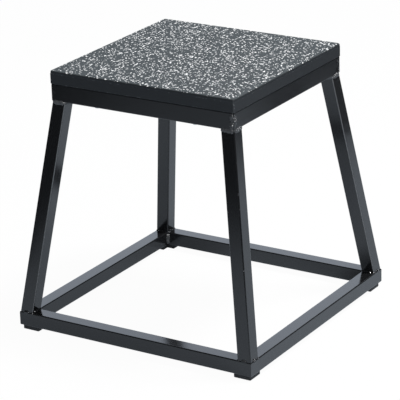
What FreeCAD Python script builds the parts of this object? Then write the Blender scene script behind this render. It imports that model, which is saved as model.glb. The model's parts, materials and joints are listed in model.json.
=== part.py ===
"""Welded steel plyometric box with a rubber-topped deck, in millimetres.

The origin lies on the floor under the centre of the box, +Z is up and the front is -Y.
"""
import FreeCAD, Part
import math
import os
from FreeCAD import Placement, Rotation, Vector

# Overall sizes
box_height = 457.0
base_side = 460.0
deck_side = 356.0
deck_overhang = 1.5

# Square and rectangular tubes of the frame
tube_bend = 0.5
base_tube = 25.0
base_wall = 1.5
leg_tube = 25.0
leg_wall = 1.5
top_tube_width = 30.0
top_tube_height = 30.0
top_wall = 1.5

# How far the outer corner of a leg stands in from the frames that it joins
leg_base_inset = 1.0
leg_top_inset = 0.5

# Deck: a plywood board with a rubber mat glued on it
mat_thickness = 5.0
board_thickness = 18.0
deck_corner_round = 3.0
mat_edge_round = 1.0
board_edge_round = 1.0

# Deck fastening: bolts up through the top rails into tee nuts that the mat hides
deck_bolt_pitch = 190.0
deck_bolt_diameter = 6.0
deck_bolt_length = 45.0
deck_bolt_head_diameter = 11.0
deck_bolt_head_height = 3.3
deck_bolt_dome_flat = 3.0
deck_bolt_key = 4.0
deck_bolt_key_depth = 2.0
deck_washer_diameter = 12.5
deck_washer_thickness = 1.6
tee_flange_diameter = 19.0
tee_flange_thickness = 1.5
tee_barrel_wall = 1.0
tee_barrel_length = 10.0
thread_clearance = 0.05
drill_clearance = 0.25

# Rubber feet, one angle-shaped pad under each corner of the base
foot_thickness = 8.0
foot_arm_width = 18.0
foot_length = 32.0
foot_corner_round = 2.0
foot_edge_round = 1.0
foot_recess_diameter = 10.5
foot_recess_depth = 5.0
foot_screw_diameter = 4.2
foot_screw_grip = 6.0
foot_screw_head_diameter = 8.0
foot_screw_head_height = 2.4
foot_screw_dome_flat = 1.6
foot_washer_diameter = 9.5
foot_washer_thickness = 1.0

# Weld beads
leg_top_bead_radius = 3.0
leg_base_bead_radius = 2.6
leg_bead_depth = 1.0
leg_bead_turn = 0.2
tack_length = 7.0
tack_shift = 4.0
tack_stand_off = 4.0
corner_bead_radius = 3.0
corner_bead_depth = 1.6
corner_bead_stop = 1.5
base_bead_radius = 3.5
base_bead_stop = 3.0

# One overrun for all cuts, and how closely a weld follows the tubes that it joins
overrun = 1.0
weld_tolerance = 0.0001

# Levels above the floor
base_low = foot_thickness
base_top = base_low + base_tube
mat_low = box_height - mat_thickness
board_low = mat_low - board_thickness
top_low = board_low - top_tube_height

# Half sizes and places that several pieces share
base_half = base_side / 2
top_side = deck_side - 2 * deck_overhang
top_half = top_side / 2
leg_outer_base = base_half - leg_base_inset
leg_outer_top = top_half - leg_top_inset
leg_height = top_low - base_top
leg_lean = math.atan2(math.sqrt(2) * (leg_outer_base - leg_outer_top), leg_height)
leg_half_section = leg_tube / 2 / math.cos(leg_lean)
leg_base_centre = leg_outer_base - leg_half_section
leg_top_centre = leg_outer_top - leg_half_section
foot_inset = (base_tube - foot_arm_width) / 2
foot_reach = foot_length - foot_arm_width
foot_screw_offset = foot_inset + foot_arm_width + foot_reach / 2
foot_bore = foot_screw_diameter + 2 * drill_clearance
deck_bolt_bore = deck_bolt_diameter + 2 * drill_clearance
tee_barrel_diameter = deck_bolt_diameter + 2 * tee_barrel_wall

UP = Vector(0, 0, 1)
ORIGIN = Vector(0, 0, 0)
SIDES = ("front", "right", "back", "left")
CORNERS = ("back_right", "back_left", "front_left", "front_right")


def turned(shape, quarter):
    """Copy of a shape turned about the upright axis by a number of quarter turns."""
    copy = shape.copy()
    copy.rotate(ORIGIN, UP, 90 * quarter)
    return copy


def all_round(shapes):
    """Each of the shapes at all four corners or sides, as one group of solids."""
    return Part.makeCompound([turned(shape, quarter) for quarter in range(4) for shape in shapes])


def rounded_polygon(corners, radius):
    """Closed outline through corners given in order, each one rounded by a tangent arc."""
    rounds = []
    for before, corner, after in zip(corners[-1:] + corners[:-1], corners, corners[1:] + corners[:1]):
        backward = (before - corner).normalize()
        forward = (after - corner).normalize()
        half_angle = backward.getAngle(forward) / 2
        reach = radius / math.tan(half_angle)
        crest = corner + (backward + forward).normalize() * (radius / math.sin(half_angle) - radius)
        rounds.append((corner + backward * reach, crest, corner + forward * reach))
    edges = []
    for arc, following in zip(rounds, rounds[1:] + rounds[:1]):
        edges.append(Part.makeLine(arc[-1], following[0]))
        edges.append(Part.Arc(*following).toShape())
    return Part.Wire(edges)


def rounded_rectangle(width, height, radius):
    """Closed outline with round corners, centred in the XY plane."""
    x = width / 2
    y = height / 2
    return rounded_polygon([Vector(x, y, 0), Vector(-x, y, 0), Vector(-x, -y, 0), Vector(x, -y, 0)], radius)


def tube_outline(width, height, wall):
    """Outside of a formed tube, whose corners bend round the inner radius."""
    return rounded_rectangle(width, height, tube_bend + wall)


def tube_section(width, height, wall):
    """Face of a tube with its bore."""
    bore = Part.Face(rounded_rectangle(width - 2 * wall, height - 2 * wall, tube_bend))
    return Part.Face(tube_outline(width, height, wall)).cut(bore).Faces[0]


def drill(diameter, x, y, low, high):
    """Upright cylinder between two levels."""
    return Part.makeCylinder(diameter / 2, high - low, Vector(x, y, low))


def mitred(section, side, width, height, low):
    """Front rail of a square frame: a section run along X with both ends cut at 45 degrees."""
    half = side / 2
    along_x = Rotation(Vector(0, 1, 0), Vector(0, 0, 1), Vector(1, 0, 0), "ZXY")
    run = section.extrude(Vector(0, 0, side))
    run.Placement = Placement(Vector(-half, width / 2 - half, low + height / 2), along_x)
    corners = [
        Vector(-half, -half, low),
        Vector(half, -half, low),
        Vector(half - width, width - half, low),
        Vector(width - half, width - half, low),
    ]
    wedge = Part.Face(Part.makePolygon(corners + corners[:1])).extrude(Vector(0, 0, height))
    return run.common(wedge).Solids[0]


def deck_bolt_places():
    """Places of the deck bolts on the front rail."""
    y = top_tube_width / 2 - top_half
    return [(-deck_bolt_pitch / 2, y), (deck_bolt_pitch / 2, y)]


def top_rail():
    """Front rail of the top frame, drilled for the deck bolts."""
    section = tube_section(top_tube_width, top_tube_height, top_wall)
    rail = mitred(section, top_side, top_tube_width, top_tube_height, top_low)
    for x, y in deck_bolt_places():
        rail = rail.cut(drill(deck_bolt_bore, x, y, top_low - overrun, board_low + overrun))
    return rail.Solids[0]


def base_rail():
    """Front rail of the base frame, drilled underneath for the foot screws."""
    rail = mitred(tube_section(base_tube, base_tube, base_wall), base_side, base_tube, base_tube, base_low)
    y = base_tube / 2 - base_half
    bore = foot_screw_diameter + 2 * thread_clearance
    for x in (foot_screw_offset - base_half, base_half - foot_screw_offset):
        rail = rail.cut(drill(bore, x, y, base_low - overrun, base_low + base_wall + overrun))
    return rail.Solids[0]


def corner_block(half, width, height, low):
    """Outside of the two rails that meet at the back right corner, square edged, for fitting welds against."""
    clear = half - width
    bay = Part.makeBox(clear, clear, height, Vector(0, 0, low))
    return Part.makeBox(half, half, height, Vector(0, 0, low)).cut(bay)


def leg_run(section):
    """Back right leg: a square section along the leaning axis, cut level at both ends."""
    foot = Vector(leg_base_centre, leg_base_centre, base_top)
    head = Vector(leg_top_centre, leg_top_centre, top_low)
    axis = (head - foot).normalize()
    aside = Vector(1, -1, 0).normalize()
    outward = aside.cross(axis).normalize()
    face_x = (outward + aside).normalize()
    face_y = axis.cross(face_x)
    spare = leg_tube
    run = section.extrude(Vector(0, 0, (head - foot).Length + 2 * spare))
    run.Placement = Placement(foot - axis * spare, Rotation(face_x, face_y, axis, "ZXY"))
    level = Part.makeBox(base_side, base_side, leg_height, Vector(0, 0, base_top))
    return run.common(level).Solids[0]


def deck_slab(low, thickness):
    """Square slab of the deck with round upright corners."""
    outline = rounded_rectangle(deck_side, deck_side, deck_corner_round)
    slab = Part.Face(outline).extrude(Vector(0, 0, thickness))
    slab.translate(Vector(0, 0, low))
    return slab


def rim_edges(shape, level):
    """Edges of a shape that lie at one level."""
    flat = [edge for edge in shape.Edges if edge.BoundBox.ZLength < thread_clearance]
    return [edge for edge in flat if abs(edge.BoundBox.ZMin - level) < thread_clearance]


def tread_mat():
    """Rubber sheet with a softened upper edge."""
    mat = deck_slab(mat_low, mat_thickness)
    return mat.makeFillet(mat_edge_round, rim_edges(mat, box_height)).Solids[0]


def deck_board():
    """Plywood board with a hole and a flange recess for each tee nut."""
    board = deck_slab(board_low, board_thickness)
    board = board.makeFillet(board_edge_round, rim_edges(board, board_low))
    hole = tee_barrel_diameter + 2 * thread_clearance
    recess = tee_flange_diameter + 2 * thread_clearance
    for x, y in deck_bolt_places():
        bored = drill(hole, x, y, board_low - overrun, mat_low)
        seat = drill(recess, x, y, mat_low - tee_flange_thickness, mat_low + overrun)
        board = board.cut(all_round([bored.fuse(seat)]))
    return board.Solids[0]


def tee_nut(x, y):
    """Tee nut: a flange flush with the top of the board over a threaded barrel."""
    flange_low = mat_low - tee_flange_thickness
    barrel_low = flange_low - tee_barrel_length
    flange = drill(tee_flange_diameter, x, y, flange_low, mat_low)
    barrel = drill(tee_barrel_diameter, x, y, barrel_low, flange_low)
    thread = drill(deck_bolt_diameter + 2 * thread_clearance, x, y, barrel_low - overrun, mat_low + overrun)
    return flange.fuse(barrel).cut(thread).removeSplitter().Solids[0]


def washer(outside, inside, x, y, low, thickness):
    """Flat ring."""
    ring = drill(outside, x, y, low, low + thickness)
    return ring.cut(drill(inside, x, y, low - overrun, low + thickness + overrun))


def domed_fastener(head_diameter, head_height, dome_flat, shank_diameter, shank_length, x, y, seat):
    """Screw standing head down, its domed head under the seat level and its shank above it."""
    head_radius = head_diameter / 2
    shank_radius = shank_diameter / 2
    rim = Vector(head_radius, 0, 0)
    crown = Vector(dome_flat, 0, -head_height)
    bulge = (math.sqrt(2) - 1) / 2
    mid = (rim + crown) / 2 + Vector(head_height, 0, dome_flat - head_radius) * bulge
    profile = Part.Wire([
        Part.makeLine(Vector(0, 0, shank_length), Vector(0, 0, -head_height)),
        Part.makeLine(Vector(0, 0, -head_height), crown),
        Part.Arc(crown, mid, rim).toShape(),
        Part.makeLine(rim, Vector(shank_radius, 0, 0)),
        Part.makeLine(Vector(shank_radius, 0, 0), Vector(shank_radius, 0, shank_length)),
        Part.makeLine(Vector(shank_radius, 0, shank_length), Vector(0, 0, shank_length)),
    ])
    screw = Part.Face(profile).revolve(ORIGIN, UP, 360)
    screw.translate(Vector(x, y, seat))
    return screw


def deck_bolt(x, y):
    """Button head bolt with a hexagon socket, head down under a top rail."""
    seat = top_low - deck_washer_thickness
    bolt = domed_fastener(deck_bolt_head_diameter, deck_bolt_head_height, deck_bolt_dome_flat,
                          deck_bolt_diameter, deck_bolt_length, x, y, seat)
    across = deck_bolt_key / 2 / math.cos(math.pi / 6)
    turns = [math.radians(60 * index) for index in range(7)]
    hexagon = [Vector(across * math.cos(turn), across * math.sin(turn), 0) for turn in turns]
    socket = Part.Face(Part.makePolygon(hexagon)).extrude(Vector(0, 0, deck_bolt_key_depth + overrun))
    socket.translate(Vector(x, y, seat - deck_bolt_head_height - overrun))
    return bolt.cut(socket).Solids[0]


def deck_washer(x, y):
    """Washer between a deck bolt and its rail."""
    seat = top_low - deck_washer_thickness
    return washer(deck_washer_diameter, deck_bolt_bore, x, y, seat, deck_washer_thickness)


def foot_screw_places():
    """Places of the two screws of the back right foot, one in each rail."""
    across = base_half - base_tube / 2
    along = base_half - foot_screw_offset
    return [(along, across), (across, along)]


def foot_pad():
    """Angle-shaped rubber pad under the back right corner, bored for two sunk screws."""
    outer = base_half - foot_inset - foot_corner_round
    inner = base_half - foot_inset - foot_arm_width + foot_corner_round
    end = base_half - foot_inset - foot_length + foot_corner_round
    points = [(outer, outer), (end, outer), (end, inner), (inner, inner), (inner, end), (outer, end)]
    corners = [Vector(x, y, 0) for x, y in points]
    outline = Part.makePolygon(corners + corners[:1]).makeOffset2D(foot_corner_round)
    pad = Part.Face(outline).extrude(Vector(0, 0, foot_thickness))
    pad = pad.makeFillet(foot_edge_round, rim_edges(pad, 0))
    for x, y in foot_screw_places():
        pad = pad.cut(drill(foot_recess_diameter, x, y, -overrun, foot_recess_depth))
        pad = pad.cut(drill(foot_bore, x, y, 0, foot_thickness + overrun))
    return pad.Solids[0]


def foot_screw(x, y):
    """Pan head screw sunk in a foot and cut into the bottom wall of the base rail."""
    seat = foot_recess_depth - foot_washer_thickness
    length = base_low + base_wall + foot_screw_grip - seat
    return domed_fastener(foot_screw_head_diameter, foot_screw_head_height, foot_screw_dome_flat,
                          foot_screw_diameter, length, x, y, seat)


def foot_washer(x, y):
    """Washer between a foot screw and the rubber."""
    seat = foot_recess_depth - foot_washer_thickness
    return washer(foot_washer_diameter, foot_bore, x, y, seat, foot_washer_thickness)


def bead_ring(radius, centre, level):
    """Round bead along the four sides of a leg's level end, a rhomb because the leg leans over a corner."""
    half_width = leg_tube / math.sqrt(2)
    half_length = half_width / math.cos(leg_lean)
    sunk = 1 - leg_bead_depth * math.hypot(half_width, half_length) / (half_width * half_length)
    along = Vector(1, 1, 0).normalize() * half_length * sunk
    aside = Vector(-1, 1, 0).normalize() * half_width * sunk
    path = rounded_polygon([along, aside, -along, -aside], radius + leg_bead_turn)
    path.translate(Vector(centre, centre, level))
    start = path.Edges[0].Vertexes[0].Point
    onward = path.Edges[0].tangentAt(0)
    round_section = Part.makeCircle(radius, start, onward)
    round_section.rotate(start, onward, 45)
    return path.makePipeShell([Part.Wire(round_section)], True, False)


def leg_top_weld(leg_solid, top_corner):
    """Bead all round the top of the back right leg, under the top frame."""
    bead = bead_ring(leg_top_bead_radius, leg_top_centre, top_low)
    return bead.cut([leg_solid, top_corner], weld_tolerance).Solids[0]


def leg_base_weld(leg_solid, base_corner):
    """Bead along the two inner sides of the foot of the back right leg, and a tack on each outer side."""
    bead = bead_ring(leg_base_bead_radius, leg_base_centre, base_top)
    bead = bead.cut([leg_solid, base_corner], weld_tolerance)
    height = 4 * leg_base_bead_radius
    low = base_top - height / 2
    reach = leg_base_centre + leg_tube / 2 - tack_stand_off
    inner = bead.common(Part.makeBox(reach, reach, height, Vector(0, 0, low))).Solids
    tack_start = leg_base_centre - tack_shift - tack_length / 2
    depth = leg_tube / 2
    tack_x = Part.makeBox(tack_length, depth, height, Vector(tack_start, leg_base_centre + depth / 2, low))
    tack_y = Part.makeBox(depth, tack_length, height, Vector(leg_base_centre + depth / 2, tack_start, low))
    return inner + bead.common(tack_x).Solids + bead.common(tack_y).Solids


def top_corner_weld(top_corner, leg_weld):
    """Upright bead on the outer edge of the top frame's back right corner."""
    place = top_half - corner_bead_depth
    bead = drill(2 * corner_bead_radius, place, place, top_low, board_low - corner_bead_stop)
    return bead.cut(top_corner).cut(leg_weld).Solids[0]


def base_corner_weld(base_corner, leg_welds):
    """Upright bead in the inner angle of the base frame's back right corner."""
    place = base_half - base_tube
    bead = drill(2 * base_bead_radius, place, place, base_low + base_bead_stop, base_top - base_bead_stop)
    return bead.cut(base_corner).cut(Part.makeCompound(leg_welds)).Solids[0]


def build():
    """All pieces of the box by name."""
    pieces = {"tread_mat": tread_mat(), "deck_board": deck_board()}
    places = deck_bolt_places()
    pieces["deck_tee_nuts"] = all_round([tee_nut(x, y) for x, y in places])
    pieces["deck_bolts"] = all_round([deck_bolt(x, y) for x, y in places])
    pieces["deck_washers"] = all_round([deck_washer(x, y) for x, y in places])
    for quarter, side in enumerate(SIDES):
        pieces["top_rail_" + side] = turned(top_rail(), quarter)
        pieces["base_rail_" + side] = turned(base_rail(), quarter)
    leg = leg_run(tube_section(leg_tube, leg_tube, leg_wall))
    for quarter, corner in enumerate(CORNERS):
        pieces["leg_" + corner] = turned(leg, quarter)
        pieces["foot_" + corner] = turned(foot_pad(), quarter)
    leg_solid = leg_run(Part.Face(tube_outline(leg_tube, leg_tube, leg_wall)))
    top_corner = corner_block(top_half, top_tube_width, top_tube_height, top_low)
    base_corner = corner_block(base_half, base_tube, base_tube, base_low)
    top_weld = leg_top_weld(leg_solid, top_corner)
    base_welds = leg_base_weld(leg_solid, base_corner)
    pieces["leg_top_welds"] = all_round([top_weld])
    pieces["leg_base_welds"] = all_round(base_welds)
    pieces["top_corner_welds"] = all_round([top_corner_weld(top_corner, top_weld)])
    pieces["base_corner_welds"] = all_round([base_corner_weld(base_corner, base_welds)])
    screws = foot_screw_places()
    pieces["foot_screws"] = all_round([foot_screw(x, y) for x, y in screws])
    pieces["foot_washers"] = all_round([foot_washer(x, y) for x, y in screws])
    return pieces


os.makedirs("parts", exist_ok=True)
for name, piece in build().items():
    piece.exportStep(os.path.join("parts", name + ".step"))
    print(name, len(piece.Solids), round(piece.Volume), piece.isValid())
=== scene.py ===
"""Looks of a welded steel plyometric box with a flecked rubber tread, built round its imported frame.

Lengths are in metres in the frame's own axes: the origin lies on the floor under the centre of the box,
+Z is up and the front is -Y.
"""

import json
import logging
import math
from dataclasses import asdict, dataclass, replace
from enum import Enum
from typing import ClassVar, Optional, Sequence, Union

import bmesh
import bpy
from mathutils import Matrix, Vector, noise

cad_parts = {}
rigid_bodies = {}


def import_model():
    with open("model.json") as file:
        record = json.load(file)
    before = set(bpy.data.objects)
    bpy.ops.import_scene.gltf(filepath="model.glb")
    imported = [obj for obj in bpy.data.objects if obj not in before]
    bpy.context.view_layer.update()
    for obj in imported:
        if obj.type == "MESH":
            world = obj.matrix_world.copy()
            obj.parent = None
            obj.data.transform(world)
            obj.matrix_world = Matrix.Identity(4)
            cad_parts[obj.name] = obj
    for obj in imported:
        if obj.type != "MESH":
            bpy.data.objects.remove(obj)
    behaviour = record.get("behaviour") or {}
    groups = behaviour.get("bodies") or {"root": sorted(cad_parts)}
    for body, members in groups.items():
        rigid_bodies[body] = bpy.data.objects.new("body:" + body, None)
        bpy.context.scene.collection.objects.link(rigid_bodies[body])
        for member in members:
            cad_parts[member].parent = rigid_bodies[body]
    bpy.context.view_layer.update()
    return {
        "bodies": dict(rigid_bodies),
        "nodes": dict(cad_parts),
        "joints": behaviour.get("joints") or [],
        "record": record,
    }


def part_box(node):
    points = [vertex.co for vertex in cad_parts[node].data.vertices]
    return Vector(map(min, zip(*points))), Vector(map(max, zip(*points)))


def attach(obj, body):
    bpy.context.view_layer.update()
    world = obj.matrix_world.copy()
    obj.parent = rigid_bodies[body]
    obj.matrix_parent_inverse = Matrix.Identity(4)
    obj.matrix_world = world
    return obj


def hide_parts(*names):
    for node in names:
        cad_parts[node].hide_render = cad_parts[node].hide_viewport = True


LOG = logging.getLogger("plyo_box")
BODY = "root"
UP = Vector((0.0, 0.0, 1.0))
QUARTER_TURN = math.radians(90)

Colour = tuple[float, float, float, float]
Place = tuple[float, float, float]
Span = tuple[float, float]
Material = bpy.types.Material
Piece = bpy.types.Object
Socket = bpy.types.NodeSocket
Outputs = bpy.types.NodeOutputs
Feed = Union[Socket, float, Sequence[float]]
Feeds = dict[Union[str, int], Feed]

WHITE: Colour = (1.0, 1.0, 1.0, 1.0)


class Corner(Enum):
    """Corners of the box, by the quarter turns that bring the back right one there."""

    BACK_RIGHT = 0
    BACK_LEFT = 1
    FRONT_LEFT = 2
    FRONT_RIGHT = 3

    @property
    def node_suffix(self) -> str:
        """Ending of the names of this corner's CAD nodes."""
        return self.name.lower()

    def turn(self) -> Matrix:
        """Turn about the upright axis from the back right corner to this one."""
        return Matrix.Rotation(QUARTER_TURN * self.value, 3, "Z")


class Side(Enum):
    """Sides of the two square frames."""

    FRONT = "front"
    RIGHT = "right"
    BACK = "back"
    LEFT = "left"


class Wiring:
    """Adds nodes to one shader tree and links them."""

    def __init__(self, tree: bpy.types.NodeTree) -> None:
        """Take the node tree of a material, a world or a group, and empty it."""
        self.tree = tree
        tree.nodes.clear()

    def add(self, kind: str, feeds: Optional[Feeds] = None, **settings: object) -> bpy.types.Node:
        """Add one node.

        Args:
            kind: name of the node's class after "ShaderNode".
            feeds: value or linked socket of each input, by name or number.
            settings: properties of the node.

        Returns:
            The new node.
        """
        node = self.tree.nodes.new("ShaderNode" + kind)
        for name, value in settings.items():
            setattr(node, name, value)
        self.feed(node.inputs, feeds or {})
        return node

    def feed(self, sockets: bpy.types.NodeInputs, feeds: Feeds) -> None:
        """Link the inputs of a node to other sockets or set their values.

        Args:
            sockets: the node's inputs.
            feeds: output socket or plain value of each input, by name or number.
        """
        for key, value in feeds.items():
            if isinstance(value, Socket):
                self.tree.links.new(value, sockets[key])
            else:
                sockets[key].default_value = value

    def math(self, operation: str, *values: Feed) -> Socket:
        """Result of a number operation."""
        return self.add("Math", dict(enumerate(values)), operation=operation).outputs[0]

    def vector(self, operation: str, *values: Feed) -> Outputs:
        """Outputs, Vector and Value, of a vector operation."""
        return self.add("VectorMath", dict(enumerate(values)), operation=operation).outputs

    def blend(self, share: Feed, first: Feed, second: Feed) -> Socket:
        """Colour between two, which is the second at share 1."""
        return self.add("Mix", {0: share, 6: first, 7: second}, data_type="RGBA").outputs[2]

    def mix(self, share: Feed, first: Socket, second: Socket) -> Socket:
        """Surface between two, which is the second at share 1."""
        return self.add("MixShader", {0: share, 1: first, 2: second}).outputs[0]

    def ease(self, value: Feed, low: float, high: float, to_low: float = 0.0, to_high: float = 1.0) -> Socket:
        """Smooth step of a value, from to_low at the low end to to_high at the high end."""
        feeds = {0: value, 1: low, 2: high, 3: to_low, 4: to_high}
        return self.add("MapRange", feeds, interpolation_type="SMOOTHSTEP").outputs[0]

    def place(self) -> Socket:
        """Place on the object."""
        return self.add("TexCoord").outputs["Object"]

    def normal(self) -> Socket:
        """Way that the surface faces."""
        return self.add("NewGeometry").outputs["Normal"]

    def parts(self, vector: Feed) -> Outputs:
        """The three parts of a vector."""
        return self.add("SeparateXYZ", {0: vector}).outputs

    def channels(self, colour: Feed) -> Outputs:
        """The three channels of a colour."""
        return self.add("SeparateColor", {0: colour}).outputs

    def cloud(self, place: Feed, scale: Feed, detail: float, roughness: float = 0.5) -> Socket:
        """Value of soft noise at a place."""
        feeds = {"Vector": place, "Scale": scale, "Detail": detail, "Roughness": roughness}
        return self.add("TexNoise", feeds).outputs[0]

    def bump(self, height: Feed, depth: float, strength: float) -> Socket:
        """Normal bent by a height, of which 1 stands for the given depth."""
        return self.add("Bump", {"Height": height, "Distance": depth, "Strength": strength}).outputs[0]

    def effect(self, name: str, **values: Feed) -> Outputs:
        """Outputs of a shared effect, whose inputs are named here in lower case."""
        feeds = {key.capitalize(): value for key, value in values.items()}
        return self.add("Group", feeds, node_tree=bpy.data.node_groups[name]).outputs


class Effect:
    """A shader node group with named number sockets."""

    def __init__(self, name: str, inputs: Sequence[str], outputs: Sequence[str]) -> None:
        """Make the group and its sockets.

        Args:
            name: name of the group.
            inputs: names of the inputs.
            outputs: names of the outputs.
        """
        tree = bpy.data.node_groups.new(name, "ShaderNodeTree")
        for way, sockets in (("INPUT", inputs), ("OUTPUT", outputs)):
            for socket in sockets:
                tree.interface.new_socket(socket, in_out=way, socket_type="NodeSocketFloat")
        self.wiring = Wiring(tree)
        self.given = tree.nodes.new("NodeGroupInput").outputs
        self.result = tree.nodes.new("NodeGroupOutput").inputs

    def give(self, **results: Feed) -> None:
        """Feed the outputs."""
        self.wiring.feed(self.result, results)


class Effects:
    """The surface effects that the finishes share. A span runs from where one begins to where it is full."""

    PEEL_DETAIL: float = 1.0
    CHIP_DETAIL: float = 3.0
    DUST_DETAIL: float = 5.0
    DUST_ROUGHNESS: float = 0.65
    FACING_UP: Span = (0.2, 0.95)
    DUST_PATCH: Span = (0.42, 0.72)
    BEVEL_SAMPLES: int = 4
    SHARP_EDGE: Span = (0.999, 0.93)
    ROUND_EDGE: Span = (0.24, 0.42)
    CHIP: Span = (0.52, 0.68)
    FLECK_LEAST: float = 0.35
    FLECK_GROWTH: float = 1.3
    FLECK_RIM: Span = (1.15, 0.75)

    def build(self) -> None:
        """Build each group once."""
        for build_one in (self.peel, self.dust, self.wear, self.rub, self.crumb, self.fleck):
            build_one()

    def peel(self) -> None:
        """Gentle dimples of sprayed and baked paint, as a Height."""
        effect = Effect("orange_peel", ["Scale"], ["Height"])
        nodes = effect.wiring
        effect.give(Height=nodes.cloud(nodes.place(), effect.given["Scale"], self.PEEL_DETAIL))

    def dust(self) -> None:
        """Patchy dust that settles on faces that look up, as a Mask."""
        effect = Effect("settled_dust", ["Scale", "Amount"], ["Mask"])
        nodes = effect.wiring
        level = nodes.ease(nodes.parts(nodes.normal())["Z"], *self.FACING_UP)
        cloud = nodes.cloud(nodes.place(), effect.given["Scale"], self.DUST_DETAIL, self.DUST_ROUGHNESS)
        settled = nodes.math("MULTIPLY", level, nodes.ease(cloud, *self.DUST_PATCH))
        effect.give(Mask=nodes.math("MULTIPLY", settled, effect.given["Amount"]))

    def wear(self) -> None:
        """Broken line of worn finish along sharp edges, as a Mask."""
        effect = Effect("edge_wear", ["Radius", "Scale", "Amount"], ["Mask"])
        nodes = effect.wiring
        bevel = nodes.add("Bevel", {"Radius": effect.given["Radius"]}, samples=self.BEVEL_SAMPLES)
        bend = nodes.vector("DOT_PRODUCT", nodes.normal(), bevel.outputs[0])["Value"]
        cloud = nodes.cloud(nodes.place(), effect.given["Scale"], self.CHIP_DETAIL)
        broken = nodes.math("MULTIPLY", nodes.ease(bend, *self.SHARP_EDGE), nodes.ease(cloud, *self.CHIP))
        effect.give(Mask=nodes.math("MULTIPLY", broken, effect.given["Amount"]))

    def rub(self) -> None:
        """Line on rounded edges, wear in some finishes and a painted highlight in others: a Mask of all edges
        and one of the Upright edges alone.
        """
        effect = Effect("rubbed_edge_and_highlight", ["Scale", "Even", "Rare", "Amount"], ["Mask", "Upright"])
        nodes = effect.wiring
        x, y, z = nodes.parts(nodes.normal())
        slants = [nodes.math("ABSOLUTE", nodes.math("MULTIPLY", *pair)) for pair in ((x, y), (y, z), (z, x))]
        widest = nodes.math("MAXIMUM", nodes.math("MAXIMUM", slants[0], slants[1]), slants[2])
        cloud = nodes.cloud(nodes.place(), effect.given["Scale"], self.CHIP_DETAIL)
        chips = nodes.ease(nodes.math("SUBTRACT", cloud, effect.given["Rare"]), *self.CHIP)
        line = nodes.math("MAXIMUM", chips, effect.given["Even"])
        line = nodes.math("MULTIPLY", line, effect.given["Amount"])
        edges, upright = (nodes.ease(slant, *self.ROUND_EDGE) for slant in (widest, slants[0]))
        masks = [nodes.math("MULTIPLY", edge, line) for edge in (edges, upright)]
        effect.give(Mask=masks[0], Upright=masks[1])

    @staticmethod
    def crumb() -> None:
        """Granules of bonded or moulded rubber, with a Height and a Shade of each grain's own."""
        effect = Effect("rubber_crumb", ["Scale"], ["Height", "Shade"])
        nodes = effect.wiring
        feeds = {"Vector": nodes.place(), "Scale": effect.given["Scale"]}
        grains = nodes.add("TexVoronoi", feeds, feature="SMOOTH_F1").outputs
        height = nodes.math("SUBTRACT", 1.0, grains["Distance"])
        effect.give(Height=height, Shade=nodes.channels(grains["Color"])[0])

    def fleck(self) -> None:
        """Scattered chips, one to a cell, each turned its own way, with a Mask and a Tone of its own."""
        effect = Effect("rubber_fleck", ["Scale", "Length", "Width", "Share", "Shift"], ["Mask", "Tone"])
        nodes, given = effect.wiring, effect.given
        shift = nodes.add("CombineXYZ", {0: given["Shift"], 1: given["Shift"]}).outputs[0]
        shifted = nodes.vector("ADD", nodes.place(), shift)[0]
        spot = nodes.vector("MULTIPLY", shifted, (1.0, 1.0, 0.0))[0]
        feeds = {"Vector": spot, "Scale": given["Scale"]}
        cells = nodes.add("TexVoronoi", feeds, voronoi_dimensions="2D").outputs
        chance = nodes.channels(cells["Color"])
        offset = nodes.vector("SUBTRACT", spot, cells["Position"])[0]
        feeds = {"Vector": offset, "Angle": nodes.math("MULTIPLY", chance[0], 2 * math.pi)}
        turned = nodes.parts(nodes.add("VectorRotate", feeds, rotation_type="Z_AXIS").outputs[0])
        grown = nodes.math("MULTIPLY_ADD", chance[1], self.FLECK_GROWTH, self.FLECK_LEAST)
        along = nodes.math("DIVIDE", turned[0], nodes.math("MULTIPLY", given["Length"], grown))
        across = nodes.math("DIVIDE", turned[1], nodes.math("MULTIPLY", given["Width"], grown))
        squares = [nodes.math("MULTIPLY", part, part) for part in (along, across)]
        chip = nodes.ease(nodes.math("ADD", *squares), *self.FLECK_RIM)
        there = nodes.math("LESS_THAN", chance[2], given["Share"])
        effect.give(Mask=nodes.math("MULTIPLY", chip, there), Tone=chance[1])


@dataclass(frozen=True)
class EdgeRubAndHighlight:
    """Line on rounded edges, wear in some finishes and a painted highlight in others: chips to the metre,
    least strength, rareness of chips, whole strength.
    """

    scale: float = 240.0
    even: float = 0.0
    rare: float = 0.0
    amount: float = 0.25


@dataclass(frozen=True)
class EdgeWear:
    """Broken line on sharp edges: its width, chips to the metre and strength."""

    radius: float
    scale: float
    amount: float


@dataclass(frozen=True)
class FleckSet:
    """Flecks of one kind: cells to the metre, half length, half width, share of cells with one, shift."""

    scale: float
    length: float
    width: float
    share: float
    shift: float


DECK_SIDE: Colour = (0.0275, 0.0300, 0.0330, 1.0)
# Light colour and broken line on the deck's upright corners: chipped wear and a painted highlight together.
DECK_RUBBED_AND_HIGHLIT: Colour = (0.200, 0.206, 0.212, 1.0)
DECK_CORNER_RUB_AND_HIGHLIGHT = EdgeRubAndHighlight(scale=260.0, even=0.12, rare=-0.02, amount=1.0)


class Finish:
    """What all finishes share: a material with a Principled shader."""

    name: str

    def material(self) -> Material:
        """Make the material.

        Returns:
            The material.
        """
        material = bpy.data.materials.new(self.name)
        material.use_nodes = True
        nodes = Wiring(material.node_tree)
        shader = nodes.add("BsdfPrincipled")
        nodes.add("OutputMaterial", {"Surface": shader.outputs[0]})
        nodes.feed(shader.inputs, self.feeds(nodes))
        return material

    def feeds(self, nodes: Wiring) -> Feeds:
        """What feeds each input of the shader: every finish has its own."""
        raise NotImplementedError


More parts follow.
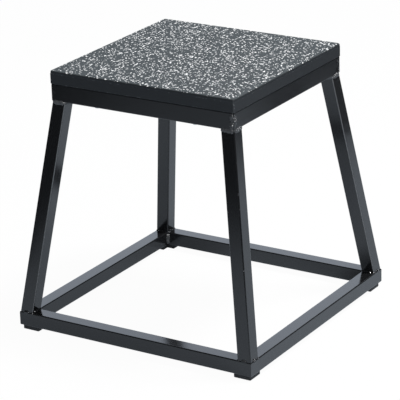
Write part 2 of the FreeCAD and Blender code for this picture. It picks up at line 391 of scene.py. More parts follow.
@dataclass(frozen=True)
class PowderCoat(Finish):
    """Black powder paint, baked on steel."""

    name: str
    colour: Colour = (0.0100, 0.0102, 0.0110, 1.0)
    # Colour of the rounded-edge line, which is worn paint in some coats and a painted highlight in others.
    rubbed: Colour = (0.050, 0.051, 0.054, 1.0)
    dusty: Colour = (0.20, 0.20, 0.20, 1.0)
    roughness: float = 0.14
    rubbed_roughness: float = 0.42
    gloss: float = 0.5
    peel_scale: float = 260.0
    peel_depth: float = 0.00002
    peel_strength: float = 0.10
    dust_scale: float = 70.0
    dust_amount: float = 0.03
    rub: EdgeRubAndHighlight = EdgeRubAndHighlight()

    def feeds(self, nodes: Wiring) -> Feeds:
        """Glossy paint with fine dimples, a little dust, and a lighter line on rounded edges that is wear in
        some coats and a painted highlight in others.

        Args:
            nodes: the material's wiring.

        Returns:
            What feeds each input of the shader.
        """
        # Rounded-edge line: wear in most coats, a painted highlight where the line runs even.
        worn = nodes.effect("rubbed_edge_and_highlight", **asdict(self.rub))["Mask"]
        dust = nodes.effect("settled_dust", scale=self.dust_scale, amount=self.dust_amount)["Mask"]
        peel = nodes.effect("orange_peel", scale=self.peel_scale)["Height"]
        dulled = nodes.math("MAXIMUM", worn, dust)
        return {
            "Base Color": nodes.blend(dust, nodes.blend(worn, self.colour, self.rubbed), self.dusty),
            "Roughness": nodes.ease(dulled, 0.0, 1.0, self.roughness, self.rubbed_roughness),
            "Normal": nodes.bump(peel, self.peel_depth, self.peel_strength),
            "Specular IOR Level": self.gloss,
        }


@dataclass(frozen=True)
class WeldCoat(PowderCoat):
    """Powder paint on weld metal, where nothing rubs."""

    rub: EdgeRubAndHighlight = EdgeRubAndHighlight(amount=0.0)


class Coat(Enum):
    """The powder coats of the tubes and of the weld beads."""

    GLOSS = PowderCoat("gloss_powder_coat")
    # Even, lighter line along the rounded edges of two legs: a painted highlight.
    RUBBED = PowderCoat("edge_highlight_powder_coat", rubbed=(0.15, 0.152, 0.157, 1.0),
                        rub=EdgeRubAndHighlight(even=0.8, amount=1.0))
    SATIN = PowderCoat("satin_powder_coat", colour=(0.0070, 0.0072, 0.0080, 1.0), roughness=0.30, gloss=0.45)
    CHIPPED = PowderCoat("chipped_powder_coat", rubbed=(0.45, 0.45, 0.46, 1.0),
                         rub=EdgeRubAndHighlight(rare=0.11, amount=1.0))
    # The raw, top, dull and foot weld coats are lighter than the tube paint: a painted highlight of the light
    # that bead lumps catch.
    RAW_WELD = WeldCoat("raw_weld_highlit_powder_coat", (0.074, 0.0755, 0.0790, 1.0), roughness=0.30, gloss=0.10)
    GROUND_WELD = WeldCoat("ground_weld_powder_coat", (0.016, 0.0163, 0.0172, 1.0),
                           roughness=0.30, gloss=0.13)
    TOP_WELD = WeldCoat("weld_powder_coat", (0.100, 0.101, 0.104, 1.0), roughness=0.36, gloss=0.06)
    BASE_WELD = WeldCoat("base_weld_powder_coat")
    DULL_WELD = WeldCoat("dull_weld_highlit_powder_coat", (0.038, 0.0388, 0.041, 1.0), roughness=0.42)
    FOOT_WELD = WeldCoat("foot_weld_powder_coat", (0.042, 0.0428, 0.045, 1.0), roughness=0.50, gloss=0.03)


@dataclass(frozen=True)
class FleckedRubber(Finish):
    """Bonded crumb rubber with pale flecks in its tread face and plain cut sides."""

    name: str = "flecked_tread_rubber"
    tread: Colour = (0.070, 0.080, 0.085, 1.0)
    tread_dark: Colour = (0.056, 0.065, 0.070, 1.0)
    fleck: Colour = (0.98, 0.98, 0.98, 1.0)
    fleck_dull: Colour = (0.80, 0.82, 0.83, 1.0)
    cut_side: Colour = DECK_SIDE
    rubbed: Colour = DECK_RUBBED_AND_HIGHLIT
    roughness: float = 0.70
    gloss: float = 0.15
    crumb_scale: float = 420.0
    bump_depth: float = 0.0004
    bump_strength: float = 0.5
    tread_span: Span = (0.55, 0.8)
    long_flecks: FleckSet = FleckSet(scale=290.0, length=0.0015, width=0.0010, share=0.22, shift=0.0)
    short_flecks: FleckSet = FleckSet(scale=350.0, length=0.0012, width=0.0006, share=0.13, shift=0.37)
    tone_share: float = 0.5
    tone_span: Span = (0.25, 0.6)
    rub: EdgeRubAndHighlight = DECK_CORNER_RUB_AND_HIGHLIGHT

    def feeds(self, nodes: Wiring) -> Feeds:
        """Flecked face, plain sides, and upright corners lightened by chipped wear and a painted highlight.

        Args:
            nodes: the material's wiring.

        Returns:
            What feeds each input of the shader.
        """
        crumb = nodes.effect("rubber_crumb", scale=self.crumb_scale)
        level = nodes.ease(nodes.parts(nodes.normal())["Z"], *self.tread_span)
        long = nodes.effect("rubber_fleck", **asdict(self.long_flecks))
        short = nodes.effect("rubber_fleck", **asdict(self.short_flecks))
        short_tone = nodes.math("MULTIPLY", short["Tone"], self.tone_share)
        tone = nodes.math("MULTIPLY_ADD", long["Tone"], self.tone_share, short_tone)
        ground = nodes.blend(crumb["Shade"], self.tread_dark, self.tread)
        chip = nodes.blend(nodes.ease(tone, *self.tone_span), self.fleck_dull, self.fleck)
        face = nodes.blend(nodes.math("MAXIMUM", long["Mask"], short["Mask"]), ground, chip)
        # Upright corners: chipped wear and a painted highlight.
        worn = nodes.effect("rubbed_edge_and_highlight", **asdict(self.rub))["Upright"]
        return {
            "Base Color": nodes.blend(level, nodes.blend(worn, self.cut_side, self.rubbed), face),
            "Roughness": self.roughness,
            "Specular IOR Level": self.gloss,
            "Normal": nodes.bump(crumb["Height"], self.bump_depth, self.bump_strength),
        }


@dataclass(frozen=True)
class SealedBoard(Finish):
    """Plywood sealed with matt black paint."""

    name: str = "sealed_board"
    colour: Colour = DECK_SIDE
    thin: Colour = (0.030, 0.030, 0.030, 1.0)
    rubbed: Colour = DECK_RUBBED_AND_HIGHLIT
    roughness: float = 0.55
    grain_roughness: float = 0.1
    gloss: float = 0.18
    grain_stretch: Place = (60.0, 900.0, 900.0)
    grain_detail: float = 3.0
    thin_span: Span = (0.55, 0.9)
    thin_share: float = 0.5
    rough_span: Span = (0.2, 0.8)
    bump_depth: float = 0.0001
    bump_strength: float = 0.25
    wear: EdgeWear = EdgeWear(radius=0.0025, scale=220.0, amount=0.5)
    rub: EdgeRubAndHighlight = DECK_CORNER_RUB_AND_HIGHLIGHT

    def feeds(self, nodes: Wiring) -> Feeds:
        """Faint grain under the paint, worn edges, and upright corners lightened by chipped wear and a
        painted highlight.

        Args:
            nodes: the material's wiring.

        Returns:
            What feeds each input of the shader.
        """
        stretched = nodes.vector("MULTIPLY", nodes.place(), self.grain_stretch)[0]
        grain = nodes.cloud(stretched, 1.0, self.grain_detail)
        chipped = nodes.effect("edge_wear", **asdict(self.wear))["Mask"]
        # Upright corners: chipped wear and a painted highlight.
        corner = nodes.effect("rubbed_edge_and_highlight", **asdict(self.rub))["Upright"]
        wood = nodes.blend(nodes.ease(grain, *self.thin_span, 0.0, self.thin_share), self.colour, self.thin)
        rougher = self.roughness + self.grain_roughness
        return {
            "Base Color": nodes.blend(nodes.math("MAXIMUM", chipped, corner), wood, self.rubbed),
            "Specular IOR Level": self.gloss,
            "Roughness": nodes.ease(grain, *self.rough_span, self.roughness, rougher),
            "Normal": nodes.bump(grain, self.bump_depth, self.bump_strength),
        }


@dataclass(frozen=True)
class MouldedRubber(Finish):
    """Plain black rubber of the feet."""

    name: str = "foot_rubber"
    colour: Colour = (0.018, 0.018, 0.019, 1.0)
    scuffed: Colour = (0.05, 0.05, 0.05, 1.0)
    roughness: float = 0.6
    crumb_roughness: float = 0.15
    crumb_scale: float = 900.0
    bump_depth: float = 0.0001
    bump_strength: float = 0.3
    wear: EdgeWear = EdgeWear(radius=0.001, scale=300.0, amount=0.5)

    def feeds(self, nodes: Wiring) -> Feeds:
        """Fine crumb and scuffed edges.

        Args:
            nodes: the material's wiring.

        Returns:
            What feeds each input of the shader.
        """
        crumb = nodes.effect("rubber_crumb", scale=self.crumb_scale)
        worn = nodes.effect("edge_wear", **asdict(self.wear))["Mask"]
        rougher = self.roughness + self.crumb_roughness
        return {
            "Base Color": nodes.blend(worn, self.colour, self.scuffed),
            "Roughness": nodes.ease(crumb["Shade"], 0.0, 1.0, self.roughness, rougher),
            "Normal": nodes.bump(crumb["Height"], self.bump_depth, self.bump_strength),
        }


@dataclass(frozen=True)
class ZincPlate(Finish):
    """Bright zinc on screws and washers."""

    name: str = "zinc_plate"
    colour: Colour = (0.62, 0.64, 0.66, 1.0)
    dull: Colour = (0.42, 0.43, 0.44, 1.0)
    roughness: float = 0.28
    spangle_roughness: float = 0.15
    spangle_scale: float = 700.0
    dust_scale: float = 300.0
    dust_amount: float = 0.3

    def feeds(self, nodes: Wiring) -> Feeds:
        """Spangled metal, dulled by dust.

        Args:
            nodes: the material's wiring.

        Returns:
            What feeds each input of the shader.
        """
        spangle = nodes.effect("rubber_crumb", scale=self.spangle_scale)["Shade"]
        dust = nodes.effect("settled_dust", scale=self.dust_scale, amount=self.dust_amount)["Mask"]
        rougher = self.roughness + self.spangle_roughness
        return {
            "Base Color": nodes.blend(nodes.math("MAXIMUM", spangle, dust), self.colour, self.dull),
            "Roughness": nodes.ease(spangle, 0.0, 1.0, self.roughness, rougher),
            "Metallic": 1.0,
        }


def dress(frame: dict, names: Sequence[str], material: Material) -> None:
    """Give CAD nodes a finish.

    Args:
        names: names of the nodes.
        material: the finish.
    """
    for name in names:
        for slot in frame["nodes"][name].material_slots:
            slot.material = material
        LOG.info("%s dressed in %s", name, material.name)


def put_in_scene(name: str, data: bpy.types.ID) -> Piece:
    """Make an object and link it to the scene.

    Args:
        name: name of the object.
        data: its mesh, lamp or camera data.

    Returns:
        The object.
    """
    thing = bpy.data.objects.new(name, data)
    bpy.context.scene.collection.objects.link(thing)
    return thing


def add_piece(name: str, bm: bmesh.types.BMesh, materials: Sequence[Material],
              replaced: str) -> Piece:
    """Turn a mesh into a piece that stands for a CAD node.

    Args:
        name: name of the piece.
        bm: its mesh, which is freed.
        materials: its finishes, in the order of its faces' numbers.
        replaced: name of the CAD node.

    Returns:
        The piece.
    """
    mesh = bpy.data.meshes.new(name)
    bmesh.ops.recalc_face_normals(bm, faces=bm.faces)
    bm.to_mesh(mesh)
    bm.free()
    mesh.shade_smooth()
    for material in materials:
        mesh.materials.append(material)
    piece = put_in_scene(name, mesh)
    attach(piece, BODY)
    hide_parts(replaced)
    LOG.info("%s built with %d faces for %s", name, len(mesh.polygons), replaced)
    return piece


@dataclass
class Deck:
    """Rubber mat glued on a sealed board."""

    half: float
    low: float
    top: float
    corner_round: float = 0.0045
    least_round: float = 0.0005
    edge_round: float = 0.0026
    rim_steps: int = 4
    cell: float = 0.0024
    relief: float = 0.00012
    relief_scale: float = 300.0

    @classmethod
    def from_frame(cls) -> "Deck":
        """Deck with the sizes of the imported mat."""
        low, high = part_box("tread_mat")
        return cls(half=high[0], low=low[2], top=high[2])

    @staticmethod
    def rounded(x: float, y: float, half: float, radius: float) -> tuple[float, float]:
        """Point of a square's rim drawn in to its round corner.

        Args:
            x: place across.
            y: place along.
            half: half the side of the square.
            radius: radius of its corners.

        Returns:
            The place on the round outline.
        """
        inner = half - radius
        over_x, over_y = abs(x) - inner, abs(y) - inner
        if over_x <= 0 or over_y <= 0:
            return x, y
        shrink = radius / math.hypot(over_x, over_y)
        return math.copysign(inner + over_x * shrink, x), math.copysign(inner + over_y * shrink, y)

    def rim_loop(self, bm: bmesh.types.BMesh, rim: Sequence[Span], inset: float, height: float) -> list:
        """Ring of vertices round the mat.

        Args:
            bm: mesh that takes them.
            rim: places round a square of unit half side.
            inset: how far the ring stands in from the sides.
            height: level of the ring.

        Returns:
            The vertices in order.
        """
        half = self.half - inset
        radius = max(self.corner_round - inset, self.least_round)
        places = (self.rounded(x * half, y * half, half, radius) for x, y in rim)
        return [bm.verts.new((x, y, height)) for x, y in places]

    def build(self, material: Material) -> None:
        """Make the mat, with crumb relief on its tread and a softened rim.

        Args:
            material: finish of the mat.
        """
        bm = bmesh.new()
        count = 2 * round(self.half / self.cell)
        steps = [2 * index / count - 1 for index in range(count + 1)]
        half = self.half - self.edge_round
        rows = []
        for v in steps:
            row = []
            for u in steps:
                x, y = self.rounded(u * half, v * half, half, self.corner_round - self.edge_round)
                inside = max(abs(u), abs(v)) < 1
                bump = noise.noise(Vector((x, y, 0.0)) * self.relief_scale) if inside else 0.0
                row.append(bm.verts.new((x, y, self.top - self.relief * (1 - bump) * inside)))
            rows.append(row)
        for near, far in zip(rows, rows[1:]):
            for outline in zip(near, near[1:], far[1:], far):
                bm.faces.new(outline)
        rim = [(u, -1.0) for u in steps[:-1]] + [(1.0, v) for v in steps[:-1]]
        rim += [(-u, 1.0) for u in steps[:-1]] + [(-1.0, -v) for v in steps[:-1]]
        ring = rows[0][:-1] + [row[-1] for row in rows[:-1]]
        ring += rows[-1][:0:-1] + [row[0] for row in rows[:0:-1]]
        levels = []
        for step in range(1, self.rim_steps + 1):
            bend = QUARTER_TURN * step / self.rim_steps
            inset = self.edge_round * (1 - math.sin(bend))
            levels.append((inset, self.top - self.edge_round * (1 - math.cos(bend))))
        for inset, height in levels + [(0.0, self.low)]:
            following = self.rim_loop(bm, rim, inset, height)
            for outline in zip(ring, ring[1:] + ring[:1], following[1:] + following[:1], following):
                bm.faces.new(outline)
            ring = following
        bm.faces.new(ring)
        add_piece("tread_mat_crumbed", bm, [material], "tread_mat")

    @staticmethod
    def dress(frame: dict, material: Material) -> None:
        """Give the board under the mat its paint."""
        dress(frame, ["deck_board"], material)


@dataclass(frozen=True)
class Skin:
    """Skin of a weld bead: pitch and depth of its ripples, height and size of its lumps."""

    pitch: float = 0.0024
    depth: float = 0.12
    lumps: float = 0.16
    lump_size: float = 0.0045


@dataclass
class Bead:
    """One run of weld metal: crescent ripples on an uneven, rounded body."""

    path: list[Vector]
    radius: float
    core: Vector
    closed: bool = False
    skin: Skin = Skin()
    bow: float = 0.9
    fine_share: float = 0.5
    fine_ratio: float = 2.3
    tip: float = 0.05
    step: float = 0.0005
    least_steps: int = 8
    sides: int = 18

    def stations(self) -> list[tuple[Vector, float]]:
        """Points along the seam in even steps.

        Returns:
            Each point with its distance from the start.
        """
        path = self.path + self.path[:1] if self.closed else self.path
        lengths = [(b - a).length for a, b in zip(path, path[1:])]
        whole = sum(lengths)
        count = max(self.least_steps, round(whole / self.step))
        placed, run, index = [], 0.0, 0
        for number in range(count if self.closed else count + 1):
            want = whole * number / count
            while index < len(lengths) - 1 and run + lengths[index] < want:
                run += lengths[index]
                index += 1
            placed.append((path[index].lerp(path[index + 1], (want - run) / lengths[index]), want))
        return placed

    def reach(self, spot: Vector, travelled: float, turn: float, ripples_per_metre: float) -> float:
        """Radius of the bead at one place of its skin.

        Args:
            spot: the place on an even bead.
            travelled: distance along the seam.
            turn: angle from the bead's crown.
            ripples_per_metre: how many ripples fill a metre.

        Returns:
            The uneven radius.
        """
        ripple = (travelled * ripples_per_metre + self.bow * (1 - math.cos(turn))) % 1.0
        crescent = math.sqrt(1 - (1 - ripple) ** 2)
        fine = noise.noise(spot * self.fine_ratio / self.skin.lump_size)
        lump = noise.noise(spot / self.skin.lump_size) + self.fine_share * fine
        return self.radius * (1 - self.skin.depth * (1 - crescent)) * (1 + self.skin.lumps * lump)

    def add_to(self, bm: bmesh.types.BMesh, finish: int) -> None:
        """Sweep the bead into a mesh.

        Args:
            bm: mesh that takes it.
            finish: number of its finish.
        """
        stations = self.stations()
        points = [point for point, _ in stations]
        count = len(points)
        whole = stations[-1][1] + (self.step if self.closed else 0.0)
        ripples_per_metre = max(1, round(whole / self.skin.pitch)) / whole
        rings = []
        for index, (point, travelled) in enumerate(stations):
            before = points[index - 1] if index or self.closed else point
            after = points[(index + 1) % count] if index + 1 < count or self.closed else point
            ahead = (after - before).normalized()
            crown = point - self.core
            crown = (crown - ahead * crown.dot(ahead)).normalized()
            side = ahead.cross(crown)
            end = 1.0 if self.closed else min(travelled, whole - travelled) / self.radius
            taper = max(self.tip, math.sqrt(1 - (1 - min(end, 1.0)) ** 2))
            ring = []
            for corner in range(self.sides):
                turn = 2 * math.pi * corner / self.sides
                out = crown * math.cos(turn) + side * math.sin(turn)
                reach = self.reach(point + out * self.radius, travelled, turn, ripples_per_metre)
                ring.append(bm.verts.new(point + out * reach * taper))
            rings.append(ring)
        pairs = list(zip(rings, rings[1:]))
        if self.closed:
            pairs.append((rings[-1], rings[0]))
        outlines = [] if self.closed else [rings[0], rings[-1]]
        for near, far in pairs:
            outlines += zip(near, near[1:] + near[:1], far[1:] + far[:1], far)
        for outline in outlines:
            bm.faces.new(outline).material_index = finish


def lay_beads(name: str, beads: dict[Corner, Sequence[Bead]], materials: Sequence[Material],
              replaced: str) -> Piece:
    """Lay the beads of all four corners as one piece.

    Args:
        name: name of the piece.
        beads: the beads of each corner, placed as at the back right one.
        materials: finish of the beads, then the front corner's own one if it differs.
        replaced: CAD node that they stand for.

    Returns:
        The piece.
    """
    bm = bmesh.new()
    for corner, laid in beads.items():
        turn = corner.turn()
        finish = len(materials) - 1 if corner is Corner.FRONT_RIGHT else 0
        for bead in laid:
            placed = replace(bead, path=[turn @ point for point in bead.path], core=turn @ bead.core)
            placed.add_to(bm, finish)
    return add_piece(name, bm, materials, replaced)


@dataclass
class RailSquare:
    """Mitred square of four tubes."""

    rails: ClassVar[str]

    half: float
    low: float
    high: float

    def dress(self, frame: dict, material: Material) -> None:
        """Coat the four rails."""
        dress(frame, [self.rails + side.value for side in Side], material)


@dataclass
class TopFrame(RailSquare):
    """Square under the deck, welded at its outer corners. The front bead is raw and the others are ground;
    the raw one's lighter coat is a painted highlight.
    """

    rails: ClassVar[str] = "top_rail_"

    bead_radius: float = 0.0056
    bead_end: float = 0.0010
    bead_sway: tuple[float, ...] = (0.0, 0.0009, -0.0007, 0.0008, -0.0004)
    raw_sunk: float = 0.0040
    raw_skin: Skin = Skin(pitch=0.0040, depth=0.34, lumps=0.17, lump_size=0.0034)
    ground_sunk: float = 0.0051
    ground_skin: Skin = Skin(lumps=0.26 * raw_sunk / ground_sunk, lump_size=0.005)

    @classmethod
    def from_frame(cls) -> "TopFrame":
        """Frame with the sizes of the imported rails."""
        low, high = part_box("top_rail_right")
        return cls(half=high[0], low=low[2], high=high[2])

    def build(self, raw: Material, ground: Material) -> Piece:
        """Lay the upright beads on the mitred corners, ground lower at all but the front one."""
        beads = {corner: [self.bead(is_ground=corner is not Corner.FRONT_RIGHT)] for corner in Corner}
        return lay_beads("top_corner_beads", beads, [ground, raw], "top_corner_welds")

    def bead(self, is_ground: bool) -> Bead:
        """One upright bead at the back right corner.

        Args:
            is_ground: whether the bead was ground lower.

        Returns:
            The bead.
        """
        sunk, skin = (self.ground_sunk, self.ground_skin) if is_ground else (self.raw_sunk, self.raw_skin)
        edge = self.half - sunk
        low, high = self.low + self.bead_end, self.high - self.bead_end
        rise = (high - low) / (len(self.bead_sway) - 1)
        sways = enumerate(self.bead_sway)
        path = [Vector((edge + sway, edge - sway, low + rise * step)) for step, sway in sways]
        return Bead(path, self.bead_radius, Vector(), skin=skin)


@dataclass
class BaseFrame(RailSquare):
    """Square on the feet, welded at its inner corners."""

    rails: ClassVar[str] = "base_rail_"

    tube: float
    bead_radius: float = 0.0062
    bead_sunk: float = 0.0012
    bead_end: float = 0.001
    bead_skin: Skin = Skin(depth=0.05, lumps=0.07)

    @classmethod
    def from_frame(cls) -> "BaseFrame":
        """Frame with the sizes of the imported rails."""
        low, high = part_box("base_rail_right")
        return cls(half=high[0], low=low[2], high=high[2], tube=high[0] - low[0])

    def build(self, material: Material) -> Piece:
        """Lay the upright beads in the inner corners.

        Args:
            material: finish of the beads.

        Returns:
            The piece.
        """
        angle = self.half - self.tube + self.bead_sunk
        path = [Vector((angle, angle, z)) for z in (self.low + self.bead_end, self.high - self.bead_end)]
        bead = Bead(path, self.bead_radius, Vector((2 * angle, 2 * angle, 0.0)), skin=self.bead_skin)
        return lay_beads("base_corner_beads", dict.fromkeys(Corner, [bead]), [material], "base_corner_welds")


@dataclass
class LegSet:
    """Four leaning square tubes, welded all round at the top and in runs and tacks at the base."""

    top: Vector
    base: Vector
    half: float
    half_aside: float = 0.0125
    top_sunk: float = 0.0032
    top_radius: float = 0.0056
    top_drop: float = 0.0014
    base_sunk: float = 0.0012
    base_radius: float = 0.0034
    base_skin: Skin = Skin(depth=0.08)
    tack_radius: float = 0.0034
    tack_span: Span = (0.16, 0.80)
    lump_radius: float = 0.0040
    lump_sunk: float = 0.0012
    lump_skin: Skin = Skin(depth=0.05, lumps=0.26, lump_size=0.0035)
    turn_radius: float = 0.0035
    turn_steps: int = 5

    @classmethod
    def from_frame(cls) -> "LegSet":
        """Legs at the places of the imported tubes.

        Returns:
            The legs.
        """
        low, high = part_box("leg_back_right")
        spread = high[0] - low[0] - 2 * cls.half_aside
        half = cls.half_aside / math.cos(math.atan2(math.sqrt(2) * spread, high[2] - low[2]))
        top = Vector((low[0] + half, low[1] + half, high[2]))
        base = Vector((high[0] - half, high[1] - half, low[2]))
        return cls(top=top, base=base, half=half)

    def ring(self, centre: Vector, sunk: float) -> list[Vector]:
        """Line round a level leg end, sunk a little into the tube, from its outer corner anticlockwise.

        Args:
            centre: middle of the leg end.
            sunk: how far the line lies inside the tube's faces.

        Returns:
            The points of the closed line.
        """
        near, aside = self.half - sunk, self.half_aside - sunk
        places = ((near, near), (-aside, aside), (-near, -near), (aside, -aside))
        corners = [Vector((x, y, 0)) for x, y in places]
        line = []
        for before, corner, after in zip(corners[-1:] + corners[:-1], corners, corners[1:] + corners[:1]):
            start = corner + (before - corner).normalized() * self.turn_radius
            stop = corner + (after - corner).normalized() * self.turn_radius
            for step in range(self.turn_steps + 1):
                share = step / self.turn_steps
                line.append(centre + start.lerp(corner, share).lerp(corner.lerp(stop, share), share))
        return line

    def build(self, top_coats: Sequence[Material], base_coats: Sequence[Material]) -> list[Piece]:
        """Lay a bead round each leg's top, and a run inside, two tacks and three lumps round its foot.

        Args:
            top_coats: finish of the beads at the top, then the front leg's own one; both are lighter with a
                painted highlight.
            base_coats: finish of the beads at the base, then the front leg's own one, which is lighter with a
                painted highlight.

        Returns:
            The pieces.
        """
        hung = self.top - UP * self.top_drop
        round_top = Bead(self.ring(hung, self.top_sunk), self.top_radius, hung, closed=True)
        ring = self.ring(self.base, self.base_sunk)
        under = self.base - UP * self.half
        per_corner = self.turn_steps + 1
        run = ring[per_corner + self.turn_steps:3 * per_corner + 1]
        at_base = [Bead(run, self.base_radius, under, skin=self.base_skin)]
        for start, stop in ((ring[per_corner - 1], ring[per_corner]), (ring[-1], ring[0])):
            tack = [start.lerp(stop, share) for share in self.tack_span]
            at_base.append(Bead(tack, self.tack_radius, under))
        for first in range(per_corner, len(ring), per_corner):
            turn = [point - UP * self.lump_sunk for point in ring[first:first + per_corner]]
            at_base.append(Bead(turn, self.lump_radius, under, skin=self.lump_skin))
        return [
            lay_beads("leg_top_beads", dict.fromkeys(Corner, [round_top]), top_coats, "leg_top_welds"),
            lay_beads("leg_base_beads", dict.fromkeys(Corner, at_base), base_coats, "leg_base_welds"),
        ]

    @staticmethod
    def dress(frame: dict, finishes: dict[Corner, Material]) -> None:
        """Coat the leg at each corner."""
        for corner, material in finishes.items():
            dress(frame, ["leg_" + corner.node_suffix], material)


@dataclass
class Feet:
    """Rubber blocks under the corners of the base."""

    corners: tuple[Corner, ...] = tuple(Corner)

    def dress(self, frame: dict, material: Material) -> None:
        """Give the feet their rubber."""
        dress(frame, ["foot_" + corner.node_suffix for corner in self.corners], material)


@dataclass
class Fasteners:
    """Bolts, nuts, screws and washers of the deck and the feet."""

    nodes: tuple[str, ...] = ("deck_bolts", "deck_washers", "deck_tee_nuts", "foot_screws", "foot_washers")

    def dress(self, frame: dict, material: Material) -> None:
        """Plate the fasteners."""
        dress(frame, self.nodes, material)


@dataclass(frozen=True)
class Flag:
    """Dark card cut to shape that stands beside the box and shows only in reflections on its paint: a painted
    dark reflection.
    """

    name: str
    middle: Span
    outline: tuple[Span, ...]
    colour: Colour = (0.02, 0.02, 0.02, 1.0)

    def build(self) -> None:
        """Stand the card up so that it faces the box."""
        foot = Vector((*self.middle, 0.0))
        along = foot.normalized().cross(UP)
        mesh = bpy.data.meshes.new(self.name)
        corners = [foot + along * across + UP * height for across, height in self.outline]
        mesh.from_pydata(corners, [], [tuple(range(len(corners)))])
        material = bpy.data.materials.new(self.name)
        material.use_nodes = True
        material.node_tree.nodes["Principled BSDF"].inputs["Base Color"].default_value = self.colour
        mesh.materials.append(material)
        card = put_in_scene(self.name, mesh)
        card.visible_camera = False
        card.visible_diffuse = False
        card.visible_shadow = False


@dataclass(frozen=True)
class Lamp:
    """Square soft lamp: its place, side and watts."""

    name: str
    place: Place
    size: float
    power: float

    def build(self, aim: Place) -> Piece:
        """Hang the lamp so that it looks at a place.

        Args:
            aim: the place.

        Returns:
            The lamp.
        """
        data = bpy.data.lights.new(self.name, "AREA")
        data.size = self.size
        data.energy = self.power
        lamp = put_in_scene(self.name, data)
        lamp.location = self.place
        lamp.rotation_euler = (Vector(aim) - Vector(self.place)).to_track_quat("-Z", "Y").to_euler()
        lamp.visible_camera = False
        return lamp


@dataclass(frozen=True)
class PaintedShadeSpot:
    """Round spot of painted shade in the floor as reflections show it: its middle, radius and the share of
    the glow left there.
    """

    middle: Place
    radius: float
    share: float


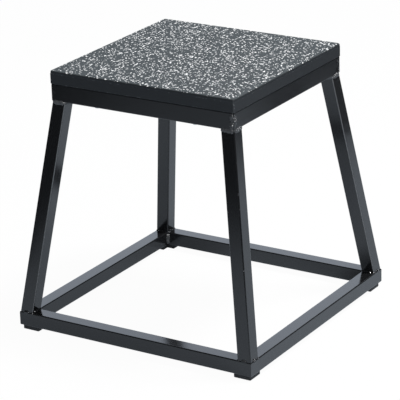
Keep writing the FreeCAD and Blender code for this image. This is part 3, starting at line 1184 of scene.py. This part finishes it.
@dataclass(frozen=True)
class Studio:
    """Pale floor, soft light and the surroundings that the paint mirrors."""

    floor_half: float = 6.0
    floor_colour: Colour = (0.76, 0.84, 0.93, 1.0)
    floor_dim: Colour = (0.03, 0.03, 0.03, 1.0)
    floor_shade: Colour = (0.95, 0.95, 0.95, 1.0)
    floor_shadow: float = 0.035
    # To reflections the floor is a painted glow that fades away from the box and towards the left.
    glow_colour: Colour = (0.78, 0.87, 0.98, 1.0)
    glow_share: float = 0.65
    glow_centre: Place = (0.10, -0.15, 0.0)
    glow_near: float = 1.35
    glow_far: float = 2.75
    glow_rest: float = 0.06
    glow_left: Span = (-1.9, -0.1)
    # Painted shade in that glow near the back of the base, seen only in reflections.
    dim_spots: tuple[PaintedShadeSpot, ...] = (
        PaintedShadeSpot((-0.19, 0.19, 0.0), radius=0.16, share=0.54),
        PaintedShadeSpot((0.185, 0.14, 0.0), radius=0.07, share=0.25),
    )
    lamp_aim: Place = (0.0, 0.0, 0.25)
    key: Lamp = Lamp("key_lamp", (1.05, 0.70, 3.25), size=0.8, power=95.0)
    fill: Lamp = Lamp("fill_lamp", (2.55, -1.20, 1.25), size=0.5, power=12.0)
    glint: Lamp = Lamp("glint_lamp", (2.1, -2.3, 2.6), size=0.3, power=1200.0)
    ambient: Colour = (0.30, 0.31, 0.32, 1.0)
    backdrop_way: Place = (-0.52, 0.83, 0.20)
    backdrop_colour: Colour = (1.23, 1.36, 1.56, 1.0)
    backdrop_edge: float = 0.72
    backdrop_full: float = 0.90
    backdrop_dark: float = 0.06
    # Dark and grey cards that only reflections see: painted dark reflections in the paint.
    flags: tuple[Flag, ...] = (
        Flag("flag_front_left", (-0.74, -0.42),
             ((-0.50, 0.15), (-0.40, 0.15), (-0.36, 0.02), (0.41, 0.02), (0.41, 0.60), (-0.50, 0.60))),
        Flag("flag_back_right", (0.33, 0.60),
             ((-0.05, 0.26), (0.10, 0.215), (0.16, 0.215), (0.19, 0.15), (0.26, 0.10), (0.26, 0.60),
              (-0.05, 0.60)),
             (0.18, 0.18, 0.18, 1.0)),
        Flag("flag_right", (0.31, 0.10),
             ((-0.16, 0.27), (-0.01, 0.27), (-0.01, 0.41), (-0.16, 0.41)),
             (0.28, 0.28, 0.28, 1.0)),
    )

    def light_beads(self, beads: Sequence[Piece]) -> None:
        """Hang the small lamp by the camera that only the weld beads mirror.

        Args:
            beads: the pieces of weld metal.
        """
        catchers = bpy.data.collections.new("glint_catchers")
        for bead in beads:
            catchers.objects.link(bead)
        lamp = self.glint.build(self.lamp_aim)
        lamp.visible_diffuse = False
        lamp.light_linking.receiver_collection = catchers

    def floor(self) -> None:
        """White floor that keeps a faint shadow and can be looked through from below; to reflections it shows
        a painted glow and painted shade.
        """
        mesh = bpy.data.meshes.new("floor")
        half = self.floor_half
        corners = [(-half, -half, 0), (half, -half, 0), (half, half, 0), (-half, half, 0)]
        mesh.from_pydata(corners, [], [(0, 1, 2, 3)])
        floor = put_in_scene("floor", mesh)
        material = bpy.data.materials.new("pale_floor")
        material.use_nodes = True
        nodes = Wiring(material.node_tree)
        # Reflections see a painted pool of glow round the box, with painted shade spots, over a diffuse floor
        # darkened the same way.
        place = nodes.place()
        away = nodes.vector("DISTANCE", place, self.glow_centre)["Value"]
        share = nodes.ease(away, self.glow_near, self.glow_far, 1.0, self.glow_rest)
        share = nodes.math("MULTIPLY", share, nodes.ease(nodes.parts(place)["X"], *self.glow_left))
        for spot in self.dim_spots:
            beside = nodes.vector("DISTANCE", place, spot.middle)["Value"]
            share = nodes.math("MULTIPLY", share, nodes.ease(beside, 0.0, spot.radius, spot.share, 1.0))
        glow = nodes.add("Emission", {"Color": self.glow_colour, "Strength": share}).outputs[0]
        colours = (nodes.blend(share, self.floor_dim, self.floor_colour), self.floor_colour, self.floor_shade)
        dim, plain, shaded = (nodes.add("BsdfDiffuse", {"Color": colour}).outputs[0] for colour in colours)
        white = nodes.add("Emission", {"Color": WHITE}).outputs[0]
        path = nodes.add("LightPath").outputs
        lit = nodes.mix(path["Is Glossy Ray"], plain, nodes.mix(self.glow_share, dim, glow))
        seen = nodes.mix(self.floor_shadow, white, shaded)
        above = nodes.mix(path["Is Camera Ray"], lit, seen)
        clear = nodes.add("BsdfTransparent").outputs[0]
        under = nodes.add("NewGeometry").outputs["Backfacing"]
        nodes.add("OutputMaterial", {"Surface": nodes.mix(under, above, clear)})
        mesh.materials.append(material)

    def world(self) -> None:
        """White to the camera, soft to the light, and a bright backdrop to what mirrors it."""
        world = bpy.data.worlds.new("studio")
        world.use_nodes = True
        nodes = Wiring(world.node_tree)
        way = nodes.add("TexCoord").outputs["Generated"]
        facing = nodes.vector("DOT_PRODUCT", way, Vector(self.backdrop_way).normalized())["Value"]
        glow = nodes.ease(facing, self.backdrop_edge, self.backdrop_full, self.backdrop_dark, 1.0)
        mirrored = nodes.add("Background", {"Color": self.backdrop_colour, "Strength": glow}).outputs[0]
        soft = nodes.add("Background", {"Color": self.ambient}).outputs[0]
        white = nodes.add("Background", {"Color": WHITE}).outputs[0]
        path = nodes.add("LightPath").outputs
        light = nodes.mix(path["Is Glossy Ray"], soft, mirrored)
        nodes.add("OutputWorld", {"Surface": nodes.mix(path["Is Camera Ray"], light, white)})
        bpy.context.scene.world = world

    def build(self, beads: Sequence[Piece]) -> None:
        """Set up floor, lamps, world and view.

        Args:
            beads: the pieces of weld metal, which catch a glint.
        """
        self.floor()
        self.world()
        for lamp in (self.key, self.fill):
            lamp.build(self.lamp_aim)
        self.light_beads(beads)
        for flag in self.flags:
            flag.build()
        bpy.context.scene.view_settings.view_transform = "Standard"
        LOG.info("studio set up")


@dataclass(frozen=True)
class PhotoCamera:
    """Camera at the photograph's viewing angle, aimed at a point on the box's upright axis."""

    picture_pixels: float = 400.0
    focal_pixels: float = 2187.8
    aim_pixel: Span = (200.95, 191.60)
    aim_height: float = 0.215
    distance: float = 3.762
    azimuth: float = 32.18
    elevation: float = 20.29
    roll: float = 1.69
    sensor_mm: float = 36.0

    def build(self) -> None:
        """Place the camera and make it the scene's own."""
        azimuth, elevation, roll = map(math.radians, (self.azimuth, self.elevation, self.roll))
        flat = math.cos(elevation)
        back = Vector((math.sin(azimuth) * flat, -math.cos(azimuth) * flat, math.sin(elevation)))
        level = Vector((math.cos(azimuth), math.sin(azimuth), 0.0))
        upright = back.cross(level)
        right = level * math.cos(roll) - upright * math.sin(roll)
        up = level * math.sin(roll) + upright * math.cos(roll)
        middle = self.picture_pixels / 2
        across, down = ((pixel - middle) / self.focal_pixels * self.distance for pixel in self.aim_pixel)
        place = Vector((0.0, 0.0, self.aim_height)) + back * self.distance - right * across + up * down
        data = bpy.data.cameras.new("photo_camera")
        data.sensor_width = self.sensor_mm
        data.lens = self.focal_pixels / self.picture_pixels * self.sensor_mm
        camera = put_in_scene("photo_camera", data)
        camera.matrix_world = Matrix((right, up, back)).transposed().to_4x4()
        camera.location = place
        bpy.context.scene.camera = camera
        LOG.info("camera placed")


def main() -> None:
    """Build the looks of the box round its frame."""
    logging.basicConfig(level=logging.INFO, format="%(message)s")
    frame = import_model()
    Effects().build()
    coats = {coat: coat.value.material() for coat in Coat}
    deck = Deck.from_frame()
    deck.build(FleckedRubber().material())
    deck.dress(frame, SealedBoard().material())
    top_frame, base_frame, legs = TopFrame.from_frame(), BaseFrame.from_frame(), LegSet.from_frame()
    # The lighter weld coats carry a painted highlight.
    leg_tops = [coats[Coat.TOP_WELD], coats[Coat.RAW_WELD]]
    leg_feet = [coats[Coat.BASE_WELD], coats[Coat.FOOT_WELD]]
    beads = [
        top_frame.build(coats[Coat.RAW_WELD], coats[Coat.GROUND_WELD]),
        base_frame.build(coats[Coat.DULL_WELD]),
        *legs.build(leg_tops, leg_feet),
    ]
    top_frame.dress(frame, coats[Coat.SATIN])
    base_frame.dress(frame, coats[Coat.GLOSS])
    # Two legs take the coat whose even edge line is a painted highlight.
    legs.dress(frame, {
        Corner.BACK_RIGHT: coats[Coat.RUBBED],
        Corner.BACK_LEFT: coats[Coat.GLOSS],
        Corner.FRONT_LEFT: coats[Coat.RUBBED],
        Corner.FRONT_RIGHT: coats[Coat.CHIPPED],
    })
    Feet().dress(frame, MouldedRubber().material())
    Fasteners().dress(frame, ZincPlate().material())
    Studio().build(beads)
    PhotoCamera().build()


if __name__ == "__main__":
    main()
